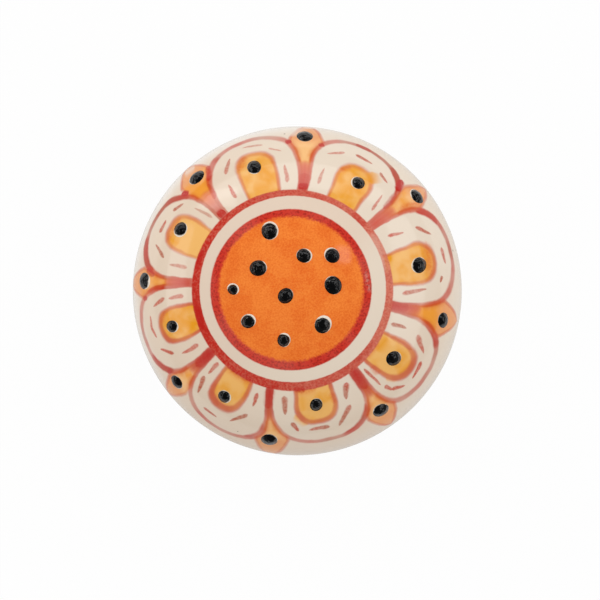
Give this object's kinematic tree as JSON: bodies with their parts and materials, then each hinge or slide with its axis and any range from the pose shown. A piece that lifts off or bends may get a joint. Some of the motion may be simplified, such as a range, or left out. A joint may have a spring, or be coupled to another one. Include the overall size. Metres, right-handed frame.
{
  "type": "cabinet knob",
  "caption": "Round domed ceramic cabinet knob, hand painted with a flower and raised enamel dots, with a threaded insert in its foot for a screw from behind the door.",
  "frame": {"origin": "centre of the flat foot, where the knob meets the cabinet face", "axes": "+Z along the screw axis, out of the cabinet face towards the crown; +Y is up in the picture"},
  "size_m": [0.04, 0.04, 0.0284],
  "materials": {
    "painted_glaze": "glossy clear glaze over hand-painted colours",
    "insert_brass": "turned, slightly dull"
  },
  "bodies": {
    "root": {"ceramic_body": "painted_glaze", "threaded_insert": "insert_brass"}
  },
  "joints": []
}
